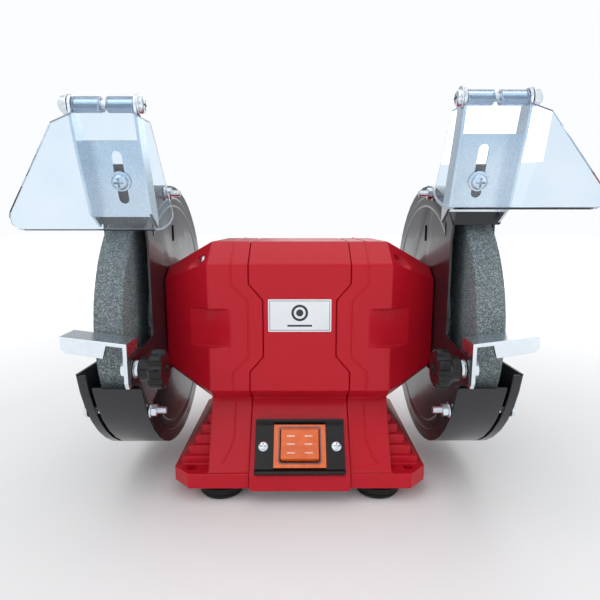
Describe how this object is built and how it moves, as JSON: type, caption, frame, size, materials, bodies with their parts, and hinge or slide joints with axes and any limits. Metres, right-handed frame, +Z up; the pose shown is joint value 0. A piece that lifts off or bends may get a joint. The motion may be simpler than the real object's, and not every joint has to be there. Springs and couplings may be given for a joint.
{
  "type": "bench grinder",
  "caption": "Two-wheel bench grinder: red motor housing on a sloping base, black guards with grey wheels, bent tool rests, clear eye shields on slotted brackets and a rocker switch.",
  "frame": {"origin": "on the bench, at the middle of the machine's overall box", "axes": "+X to the operator's right along the arbor, -Y towards the operator, +Z up"},
  "size_m": [0.3236, 0.2617, 0.2837],
  "materials": {
    "red_paint": "satin gloss enamel on cast aluminium",
    "black_paint": "gloss black enamel on pressed steel",
    "black_plastic": "moulded black plastic",
    "zinc": "bright zinc plate",
    "steel": "ground steel",
    "aluminium": "drawn aluminium can",
    "lamination": "stacked electrical steel",
    "copper": "enamelled copper wire",
    "rubber": "black moulded rubber",
    "abrasive": "coarse grey vitrified grit",
    "clear_plastic": "clear polycarbonate with a blue cast",
    "orange_plastic": "translucent orange plastic"
  },
  "bodies": {
    "root": {"centre_housing": "red_paint", "left_end_housing": "red_paint", "right_end_housing": "red_paint", "base_plate": "zinc", "front_left_foot": "rubber", "front_right_foot": "rubber", "rear_left_foot": "rubber", "rear_right_foot": "rubber", "stator_core": "lamination", "left_winding": "copper", "right_winding": "copper", "left_bearing": "steel", "right_bearing": "steel", "capacitor": "aluminium", "tie_bolt_1": "zinc", "tie_bolt_2": "zinc", "tie_bolt_3": "zinc", "tie_bolt_4": "zinc", "switch_bezel": "black_plastic", "switch_body": "orange_plastic", "left_switch_screw": "zinc", "right_switch_screw": "zinc", "cable_gland": "black_plastic", "left_inner_guard": "black_paint", "left_outer_cover": "black_paint", "left_lower_guard_bolt": "zinc", "left_upper_guard_bolt": "zinc", "left_rear_guard_bolt": "zinc", "left_rest_bolt": "zinc", "left_shield_screw": "zinc", "right_inner_guard": "black_paint", "right_outer_cover": "black_paint", "right_lower_guard_bolt": "zinc", "right_upper_guard_bolt": "zinc", "right_rear_guard_bolt": "zinc", "right_rest_bolt": "zinc", "right_shield_screw": "zinc"},
    "arbor": {"shaft": "steel", "rotor_core": "lamination", "left_wheel": "abrasive", "left_inner_flange": "zinc", "left_outer_flange": "zinc", "left_arbor_nut": "zinc", "right_wheel": "abrasive", "right_inner_flange": "zinc", "right_outer_flange": "zinc", "right_arbor_nut": "zinc"},
    "switch_rocker": {"switch_rocker": "orange_plastic"},
    "left_rest": {"left_tool_rest": "zinc"},
    "left_knob": {"left_rest_knob": "black_plastic"},
    "left_bracket": {"left_shield_bracket": "zinc", "left_hinge_bolt": "zinc", "left_hinge_nut": "zinc"},
    "left_shield": {"left_eye_shield": "clear_plastic"},
    "right_rest": {"right_tool_rest": "zinc"},
    "right_knob": {"right_rest_knob": "black_plastic"},
    "right_bracket": {"right_shield_bracket": "zinc", "right_hinge_bolt": "zinc", "right_hinge_nut": "zinc"},
    "right_shield": {"right_eye_shield": "clear_plastic"}
  },
  "joints": [
    {"name": "arbor_spin", "type": "hinge", "parent": "root", "child": "arbor", "pos_m": [0, 0.02391, 0.128], "axis": [1, 0, 0], "continuous": true},
    {"name": "switch_rock", "type": "hinge", "parent": "root", "child": "switch_rocker", "pos_m": [0, -0.05147, 0.04083], "axis": [1, 0, 0], "range_deg": [0, 16]},
    {"name": "left_rest_slide", "type": "slide", "parent": "root", "child": "left_rest", "axis": [0, 1, 0], "range_m": [-0.006, 0.002]},
    {"name": "left_knob_turn", "type": "hinge", "parent": "root", "child": "left_knob", "pos_m": [-0.094, -0.08909, 0.1125], "axis": [-1, 0, 0], "range_deg": [0, 360]},
    {"name": "left_bracket_slide", "type": "slide", "parent": "root", "child": "left_bracket", "axis": [0, -0.3518, 0.9361], "range_m": [-0.005, 0.0075]},
    {"name": "left_shield_tilt", "type": "hinge", "parent": "left_bracket", "child": "left_shield", "pos_m": [-0.1164, -0.08287, 0.27396], "axis": [-1, 0, 0], "range_deg": [-9, 75]},
    {"name": "right_rest_slide", "type": "slide", "parent": "root", "child": "right_rest", "axis": [0, 1, 0], "range_m": [-0.006, 0.002]},
    {"name": "right_knob_turn", "type": "hinge", "parent": "root", "child": "right_knob", "pos_m": [0.094, -0.08909, 0.1125], "axis": [1, 0, 0], "range_deg": [0, 360]},
    {"name": "right_bracket_slide", "type": "slide", "parent": "root", "child": "right_bracket", "axis": [0, -0.3518, 0.9361], "range_m": [-0.005, 0.0075]},
    {"name": "right_shield_tilt", "type": "hinge", "parent": "right_bracket", "child": "right_shield", "pos_m": [0.1164, -0.08428, 0.27771], "axis": [-1, 0, 0], "range_deg": [-20, 64]}
  ]
}
